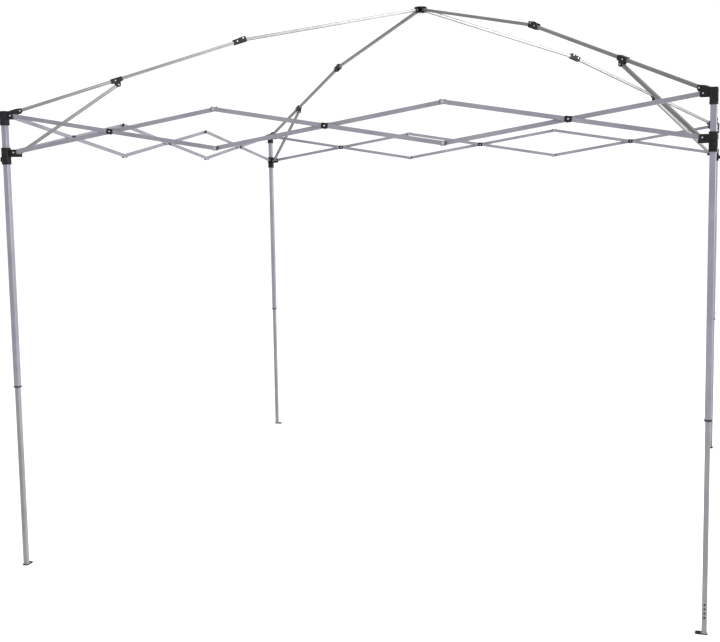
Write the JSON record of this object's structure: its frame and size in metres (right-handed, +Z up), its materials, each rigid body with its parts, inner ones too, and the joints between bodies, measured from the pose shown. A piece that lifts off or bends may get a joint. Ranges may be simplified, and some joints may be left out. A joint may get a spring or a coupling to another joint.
{
  "type": "pop-up canopy frame",
  "caption": "Folding canopy frame standing open: telescoping square legs, crossed side trusses, domed rafters and a peak hub.",
  "frame": {"origin": "on the ground at the middle of the four legs", "axes": "+Z up; +X to the right and +Y to the back, along the sides of the square, with the front side at -Y"},
  "size_m": [3.057, 3.057, 2.641],
  "materials": {
    "leg_tube": "silver grey powder coat, satin",
    "inner_tube": "grey powder coat, satin",
    "truss_tube": "silver grey powder coat, satin",
    "roof_tube": "grey powder coat, satin",
    "black_plastic": "moulded black nylon",
    "bright_steel": "bright zinc plate"
  },
  "bodies": {
    "leg_front_left": {"outer_leg_front_left": "leg_tube"},
    "inner_leg_front_left": {"inner_leg_front_left": "inner_tube"},
    "leg_button_front_left": {"leg_button_front_left": "leg_tube"},
    "slider_front_left": {"slider_front_left": "black_plastic"},
    "slider_button_front_left": {"slider_button_front_left": "black_plastic"},
    "outer_rafter_front_left": {"outer_rafter_front_left": "roof_tube"},
    "inner_rafter_front_left": {"inner_rafter_front_left": "roof_tube"},
    "strut_front_left": {"strut_front_left": "roof_tube"},
    "leg_front_right": {"outer_leg_front_right": "leg_tube"},
    "inner_leg_front_right": {"inner_leg_front_right": "inner_tube"},
    "leg_button_front_right": {"leg_button_front_right": "leg_tube"},
    "slider_front_right": {"slider_front_right": "black_plastic"},
    "slider_button_front_right": {"slider_button_front_right": "black_plastic"},
    "outer_rafter_front_right": {"outer_rafter_front_right": "roof_tube"},
    "inner_rafter_front_right": {"inner_rafter_front_right": "roof_tube"},
    "strut_front_right": {"strut_front_right": "roof_tube"},
    "leg_back_right": {"outer_leg_back_right": "leg_tube"},
    "inner_leg_back_right": {"inner_leg_back_right": "inner_tube"},
    "leg_button_back_right": {"leg_button_back_right": "leg_tube"},
    "slider_back_right": {"slider_back_right": "black_plastic"},
    "slider_button_back_right": {"slider_button_back_right": "black_plastic"},
    "outer_rafter_back_right": {"outer_rafter_back_right": "roof_tube"},
    "inner_rafter_back_right": {"inner_rafter_back_right": "roof_tube"},
    "strut_back_right": {"strut_back_right": "roof_tube"},
    "leg_back_left": {"outer_leg_back_left": "leg_tube"},
    "inner_leg_back_left": {"inner_leg_back_left": "inner_tube"},
    "leg_button_back_left": {"leg_button_back_left": "leg_tube"},
    "slider_back_left": {"slider_back_left": "black_plastic"},
    "slider_button_back_left": {"slider_button_back_left": "black_plastic"},
    "outer_rafter_back_left": {"outer_rafter_back_left": "roof_tube"},
    "inner_rafter_back_left": {"inner_rafter_back_left": "roof_tube"},
    "strut_back_left": {"strut_back_left": "roof_tube"},
    "front_bar_1_falling": {"front_bar_1_falling": "truss_tube"},
    "front_bar_1_rising": {"front_bar_1_rising": "truss_tube"},
    "front_bar_2_falling": {"front_bar_2_falling": "truss_tube"},
    "front_bar_2_rising": {"front_bar_2_rising": "truss_tube"},
    "front_bar_3_falling": {"front_bar_3_falling": "truss_tube"},
    "front_bar_3_rising": {"front_bar_3_rising": "truss_tube"},
    "right_bar_1_falling": {"right_bar_1_falling": "truss_tube"},
    "right_bar_1_rising": {"right_bar_1_rising": "truss_tube"},
    "right_bar_2_falling": {"right_bar_2_falling": "truss_tube"},
    "right_bar_2_rising": {"right_bar_2_rising": "truss_tube"},
    "right_bar_3_falling": {"right_bar_3_falling": "truss_tube"},
    "right_bar_3_rising": {"right_bar_3_rising": "truss_tube"},
    "back_bar_1_falling": {"back_bar_1_falling": "truss_tube"},
    "back_bar_1_rising": {"back_bar_1_rising": "truss_tube"},
    "back_bar_2_falling": {"back_bar_2_falling": "truss_tube"},
    "back_bar_2_rising": {"back_bar_2_rising": "truss_tube"},
    "back_bar_3_falling": {"back_bar_3_falling": "truss_tube"},
    "back_bar_3_rising": {"back_bar_3_rising": "truss_tube"},
    "left_bar_1_falling": {"left_bar_1_falling": "truss_tube"},
    "left_bar_1_rising": {"left_bar_1_rising": "truss_tube"},
    "left_bar_2_falling": {"left_bar_2_falling": "truss_tube"},
    "left_bar_2_rising": {"left_bar_2_rising": "truss_tube"},
    "left_bar_3_falling": {"left_bar_3_falling": "truss_tube"},
    "left_bar_3_rising": {"left_bar_3_rising": "truss_tube"},
    "hub": {"hub": "black_plastic", "hub_cap": "black_plastic"}
  },
  "joints": [
    {"name": "fold", "type": "hinge", "parent": "leg_front_left", "child": "outer_rafter_front_left", "pos_m": [-1.45475, -1.45475, 2.063], "axis": [-0.7071, 0.7071, 0], "range_deg": [0, 104.79]},
    {"name": "knee_front_left", "type": "hinge", "parent": "outer_rafter_front_left", "child": "inner_rafter_front_left", "pos_m": [-0.70711, -0.70711, 2.43], "axis": [0.7071, -0.7071, 0], "range_deg": [0, 192.21]},
    {"name": "hub_pin_front_left", "type": "hinge", "parent": "inner_rafter_front_left", "child": "hub", "pos_m": [-0.01697, -0.01697, 2.622], "axis": [-0.7071, 0.7071, 0], "range_deg": [0, 82.18]},
    {"name": "hub_pin_front_right", "type": "hinge", "parent": "hub", "child": "inner_rafter_front_right", "pos_m": [0.01697, -0.01697, 2.622], "axis": [0.7071, 0.7071, 0], "range_deg": [0, 82.18]},
    {"name": "knee_front_right", "type": "hinge", "parent": "inner_rafter_front_right", "child": "outer_rafter_front_right", "pos_m": [0.70711, -0.70711, 2.43], "axis": [-0.7071, -0.7071, 0], "range_deg": [0, 192.21]},
    {"name": "rafter_pin_front_right", "type": "hinge", "parent": "outer_rafter_front_right", "child": "leg_front_right", "pos_m": [1.45475, -1.45475, 2.063], "axis": [0.7071, 0.7071, 0], "range_deg": [0, 111.03]},
    {"name": "hub_pin_back_right", "type": "hinge", "parent": "hub", "child": "inner_rafter_back_right", "pos_m": [0.01697, 0.01697, 2.622], "axis": [-0.7071, 0.7071, 0], "range_deg": [0, 82.18]},
    {"name": "knee_back_right", "type": "hinge", "parent": "inner_rafter_back_right", "child": "outer_rafter_back_right", "pos_m": [0.70711, 0.70711, 2.43], "axis": [0.7071, -0.7071, 0], "range_deg": [0, 192.21]},
    {"name": "rafter_pin_back_right", "type": "hinge", "parent": "outer_rafter_back_right", "child": "leg_back_right", "pos_m": [1.45475, 1.45475, 2.063], "axis": [-0.7071, 0.7071, 0], "range_deg": [0, 111.03]},
    {"name": "hub_pin_back_left", "type": "hinge", "parent": "hub", "child": "inner_rafter_back_left", "pos_m": [-0.01697, 0.01697, 2.622], "axis": [-0.7071, -0.7071, 0], "range_deg": [0, 82.18]},
    {"name": "knee_back_left", "type": "hinge", "parent": "inner_rafter_back_left", "child": "outer_rafter_back_left", "pos_m": [-0.70711, 0.70711, 2.43], "axis": [0.7071, 0.7071, 0], "range_deg": [0, 192.21]},
    {"name": "rafter_pin_back_left", "type": "hinge", "parent": "outer_rafter_back_left", "child": "leg_back_left", "pos_m": [-1.45475, 1.45475, 2.063], "axis": [-0.7071, -0.7071, 0], "range_deg": [0, 111.03]},
    {"name": "front_top_pin_start", "type": "hinge", "parent": "leg_front_left", "child": "front_bar_1_falling", "pos_m": [-1.462, -1.5, 2.04], "axis": [0, 1, 0], "range_deg": [0, 81.51]},
    {"name": "front_cross_1", "type": "hinge", "parent": "front_bar_1_falling", "child": "front_bar_1_rising", "pos_m": [-0.97467, -1.5, 1.96], "axis": [0, -1, 0], "range_deg": [0, 162.02]},
    {"name": "front_low_pin_1", "type": "hinge", "parent": "front_bar_1_falling", "child": "front_bar_2_rising", "pos_m": [-0.48733, -1.5, 1.88], "axis": [0, -1, 0], "range_deg": [0, 162.02]},
    {"name": "front_cross_2", "type": "hinge", "parent": "front_bar_2_rising", "child": "front_bar_2_falling", "pos_m": [0, -1.5, 1.96], "axis": [0, 1, 0], "range_deg": [0, 162.02]},
    {"name": "front_top_pin_end", "type": "hinge", "parent": "leg_front_right", "child": "front_bar_3_rising", "pos_m": [1.462, -1.5, 2.04], "axis": [0, -1, 0], "range_deg": [0, 81.51]},
    {"name": "front_cross_3", "type": "hinge", "parent": "front_bar_3_rising", "child": "front_bar_3_falling", "pos_m": [0.97467, -1.5, 1.96], "axis": [0, 1, 0], "range_deg": [0, 162.02]},
    {"name": "slider_pin_front_left", "type": "hinge", "parent": "front_bar_1_rising", "child": "slider_front_left", "pos_m": [-1.462, -1.5, 1.88], "axis": [0, 1, 0], "range_deg": [0, 81.51]},
    {"name": "strut_pin_front_left", "type": "hinge", "parent": "slider_front_left", "child": "strut_front_left", "pos_m": [-1.4604, -1.4604, 1.8756], "axis": [0.7071, -0.7071, 0], "range_deg": [0, 57.06]},
    {"name": "right_top_pin_start", "type": "hinge", "parent": "leg_front_right", "child": "right_bar_1_falling", "pos_m": [1.5, -1.462, 2.04], "axis": [-1, 0, 0], "range_deg": [0, 81.51]},
    {"name": "right_cross_1", "type": "hinge", "parent": "right_bar_1_falling", "child": "right_bar_1_rising", "pos_m": [1.5, -0.97467, 1.96], "axis": [1, 0, 0], "range_deg": [0, 162.02]},
    {"name": "right_low_pin_1", "type": "hinge", "parent": "right_bar_1_falling", "child": "right_bar_2_rising", "pos_m": [1.5, -0.48733, 1.88], "axis": [1, 0, 0], "range_deg": [0, 162.02]},
    {"name": "right_cross_2", "type": "hinge", "parent": "right_bar_2_rising", "child": "right_bar_2_falling", "pos_m": [1.5, 0, 1.96], "axis": [-1, 0, 0], "range_deg": [0, 162.02]},
    {"name": "right_top_pin_end", "type": "hinge", "parent": "leg_back_right", "child": "right_bar_3_rising", "pos_m": [1.5, 1.462, 2.04], "axis": [1, 0, 0], "range_deg": [0, 81.51]},
    {"name": "right_cross_3", "type": "hinge", "parent": "right_bar_3_rising", "child": "right_bar_3_falling", "pos_m": [1.5, 0.97467, 1.96], "axis": [-1, 0, 0], "range_deg": [0, 162.02]},
    {"name": "slider_pin_front_right", "type": "hinge", "parent": "right_bar_1_rising", "child": "slider_front_right", "pos_m": [1.5, -1.462, 1.88], "axis": [-1, 0, 0], "range_deg": [0, 81.51]},
    {"name": "strut_pin_front_right", "type": "hinge", "parent": "slider_front_right", "child": "strut_front_right", "pos_m": [1.4604, -1.4604, 1.8756], "axis": [0.7071, 0.7071, 0], "range_deg": [0, 57.06]},
    {"name": "back_top_pin_start", "type": "hinge", "parent": "leg_back_right", "child": "back_bar_1_falling", "pos_m": [1.462, 1.5, 2.04], "axis": [0, -1, 0], "range_deg": [0, 81.51]},
    {"name": "back_cross_1", "type": "hinge", "parent": "back_bar_1_falling", "child": "back_bar_1_rising", "pos_m": [0.97467, 1.5, 1.96], "axis": [0, 1, 0], "range_deg": [0, 162.02]},
    {"name": "back_low_pin_1", "type": "hinge", "parent": "back_bar_1_falling", "child": "back_bar_2_rising", "pos_m": [0.48733, 1.5, 1.88], "axis": [0, 1, 0], "range_deg": [0, 162.02]},
    {"name": "back_cross_2", "type": "hinge", "parent": "back_bar_2_rising", "child": "back_bar_2_falling", "pos_m": [0, 1.5, 1.96], "axis": [0, -1, 0], "range_deg": [0, 162.02]},
    {"name": "back_top_pin_end", "type": "hinge", "parent": "leg_back_left", "child": "back_bar_3_rising", "pos_m": [-1.462, 1.5, 2.04], "axis": [0, 1, 0], "range_deg": [0, 81.51]},
    {"name": "back_cross_3", "type": "hinge", "parent": "back_bar_3_rising", "child": "back_bar_3_falling", "pos_m": [-0.97467, 1.5, 1.96], "axis": [0, -1, 0], "range_deg": [0, 162.02]},
    {"name": "slider_pin_back_right", "type": "hinge", "parent": "back_bar_1_rising", "child": "slider_back_right", "pos_m": [1.462, 1.5, 1.88], "axis": [0, -1, 0], "range_deg": [0, 81.51]},
    {"name": "strut_pin_back_right", "type": "hinge", "parent": "slider_back_right", "child": "strut_back_right", "pos_m": [1.4604, 1.4604, 1.8756], "axis": [-0.7071, 0.7071, 0], "range_deg": [0, 57.06]},
    {"name": "left_top_pin_start", "type": "hinge", "parent": "leg_back_left", "child": "left_bar_1_falling", "pos_m": [-1.5, 1.462, 2.04], "axis": [1, 0, 0], "range_deg": [0, 81.51]},
    {"name": "left_cross_1", "type": "hinge", "parent": "left_bar_1_falling", "child": "left_bar_1_rising", "pos_m": [-1.5, 0.97467, 1.96], "axis": [-1, 0, 0], "range_deg": [0, 162.02]},
    {"name": "left_low_pin_1", "type": "hinge", "parent": "left_bar_1_falling", "child": "left_bar_2_rising", "pos_m": [-1.5, 0.48733, 1.88], "axis": [-1, 0, 0], "range_deg": [0, 162.02]},
    {"name": "left_cross_2", "type": "hinge", "parent": "left_bar_2_rising", "child": "left_bar_2_falling", "pos_m": [-1.5, 0, 1.96], "axis": [1, 0, 0], "range_deg": [0, 162.02]},
    {"name": "left_top_pin_end", "type": "hinge", "parent": "leg_front_left", "child": "left_bar_3_rising", "pos_m": [-1.5, -1.462, 2.04], "axis": [-1, 0, 0], "range_deg": [0, 81.51]},
    {"name": "left_cross_3", "type": "hinge", "parent": "left_bar_3_rising", "child": "left_bar_3_falling", "pos_m": [-1.5, -0.97467, 1.96], "axis": [1, 0, 0], "range_deg": [0, 162.02]},
    {"name": "slider_pin_back_left", "type": "hinge", "parent": "left_bar_1_rising", "child": "slider_back_left", "pos_m": [-1.5, 1.462, 1.88], "axis": [1, 0, 0], "range_deg": [0, 81.51]},
    {"name": "strut_pin_back_left", "type": "hinge", "parent": "slider_back_left", "child": "strut_back_left", "pos_m": [-1.4604, 1.4604, 1.8756], "axis": [-0.7071, -0.7071, 0], "range_deg": [0, 57.06]},
    {"name": "leg_height_front_left", "type": "slide", "parent": "leg_front_left", "child": "inner_leg_front_left", "axis": [0, 0, 1], "range_m": [0, 0.802]},
    {"name": "leg_button_front_left", "type": "slide", "parent": "leg_front_left", "child": "leg_button_front_left", "axis": [1, 0, 0], "range_m": [0, 0.003], "stiffness_N_per_m": 400},
    {"name": "slider_button_front_left", "type": "slide", "parent": "slider_front_left", "child": "slider_button_front_left", "axis": [1, 0, 0], "range_m": [0, 0.0035], "stiffness_N_per_m": 600},
    {"name": "leg_height_front_right", "type": "slide", "parent": "leg_front_right", "child": "inner_leg_front_right", "axis": [0, 0, 1], "range_m": [0, 0.802]},
    {"name": "leg_button_front_right", "type": "slide", "parent": "leg_front_right", "child": "leg_button_front_right", "axis": [0, 1, 0], "range_m": [0, 0.003], "stiffness_N_per_m": 400},
    {"name": "slider_button_front_right", "type": "slide", "parent": "slider_front_right", "child": "slider_button_front_right", "axis": [0, 1, 0], "range_m": [0, 0.0035], "stiffness_N_per_m": 600},
    {"name": "leg_height_back_right", "type": "slide", "parent": "leg_back_right", "child": "inner_leg_back_right", "axis": [0, 0, 1], "range_m": [0, 0.802]},
    {"name": "leg_button_back_right", "type": "slide", "parent": "leg_back_right", "child": "leg_button_back_right", "axis": [-1, 0, 0], "range_m": [0, 0.003], "stiffness_N_per_m": 400},
    {"name": "slider_button_back_right", "type": "slide", "parent": "slider_back_right", "child": "slider_button_back_right", "axis": [-1, 0, 0], "range_m": [0, 0.0035], "stiffness_N_per_m": 600},
    {"name": "leg_height_back_left", "type": "slide", "parent": "leg_back_left", "child": "inner_leg_back_left", "axis": [0, 0, 1], "range_m": [0, 0.802]},
    {"name": "leg_button_back_left", "type": "slide", "parent": "leg_back_left", "child": "leg_button_back_left", "axis": [0, -1, 0], "range_m": [0, 0.003], "stiffness_N_per_m": 400},
    {"name": "slider_button_back_left", "type": "slide", "parent": "slider_back_left", "child": "slider_button_back_left", "axis": [0, -1, 0], "range_m": [0, 0.0035], "stiffness_N_per_m": 600}
  ],
  "couplings": [
    {"joint": "knee_front_left", "follows": "fold", "ratio": 1.7378},
    {"joint": "hub_pin_front_left", "follows": "fold", "ratio": 0.73775},
    {"joint": "hub_pin_front_right", "follows": "fold", "ratio": 0.73775},
    {"joint": "knee_front_right", "follows": "fold", "ratio": 1.7378},
    {"joint": "rafter_pin_front_right", "follows": "fold", "ratio": 1},
    {"joint": "hub_pin_back_right", "follows": "fold", "ratio": 0.73775},
    {"joint": "knee_back_right", "follows": "fold", "ratio": 1.7378},
    {"joint": "rafter_pin_back_right", "follows": "fold", "ratio": 1},
    {"joint": "hub_pin_back_left", "follows": "fold", "ratio": 0.73775},
    {"joint": "knee_back_left", "follows": "fold", "ratio": 1.7378},
    {"joint": "rafter_pin_back_left", "follows": "fold", "ratio": 1},
    {"joint": "front_top_pin_start", "follows": "fold", "ratio": 0.73169},
    {"joint": "front_cross_1", "follows": "fold", "ratio": 1.4634},
    {"joint": "front_low_pin_1", "follows": "fold", "ratio": 1.4634},
    {"joint": "front_cross_2", "follows": "fold", "ratio": 1.4634},
    {"joint": "front_top_pin_end", "follows": "fold", "ratio": 0.73169},
    {"joint": "front_cross_3", "follows": "fold", "ratio": 1.4634},
    {"joint": "slider_pin_front_left", "follows": "fold", "ratio": 0.73169},
    {"joint": "strut_pin_front_left", "follows": "fold", "ratio": 0.50951},
    {"joint": "right_top_pin_start", "follows": "fold", "ratio": 0.73169},
    {"joint": "right_cross_1", "follows": "fold", "ratio": 1.4634},
    {"joint": "right_low_pin_1", "follows": "fold", "ratio": 1.4634},
    {"joint": "right_cross_2", "follows": "fold", "ratio": 1.4634},
    {"joint": "right_top_pin_end", "follows": "fold", "ratio": 0.73169},
    {"joint": "right_cross_3", "follows": "fold", "ratio": 1.4634},
    {"joint": "slider_pin_front_right", "follows": "fold", "ratio": 0.73169},
    {"joint": "strut_pin_front_right", "follows": "fold", "ratio": 0.50951},
    {"joint": "back_top_pin_start", "follows": "fold", "ratio": 0.73169},
    {"joint": "back_cross_1", "follows": "fold", "ratio": 1.4634},
    {"joint": "back_low_pin_1", "follows": "fold", "ratio": 1.4634},
    {"joint": "back_cross_2", "follows": "fold", "ratio": 1.4634},
    {"joint": "back_top_pin_end", "follows": "fold", "ratio": 0.73169},
    {"joint": "back_cross_3", "follows": "fold", "ratio": 1.4634},
    {"joint": "slider_pin_back_right", "follows": "fold", "ratio": 0.73169},
    {"joint": "strut_pin_back_right", "follows": "fold", "ratio": 0.50951},
    {"joint": "left_top_pin_start", "follows": "fold", "ratio": 0.73169},
    {"joint": "left_cross_1", "follows": "fold", "ratio": 1.4634},
    {"joint": "left_low_pin_1", "follows": "fold", "ratio": 1.4634},
    {"joint": "left_cross_2", "follows": "fold", "ratio": 1.4634},
    {"joint": "left_top_pin_end", "follows": "fold", "ratio": 0.73169},
    {"joint": "left_cross_3", "follows": "fold", "ratio": 1.4634},
    {"joint": "slider_pin_back_left", "follows": "fold", "ratio": 0.73169},
    {"joint": "strut_pin_back_left", "follows": "fold", "ratio": 0.50951}
  ]
}
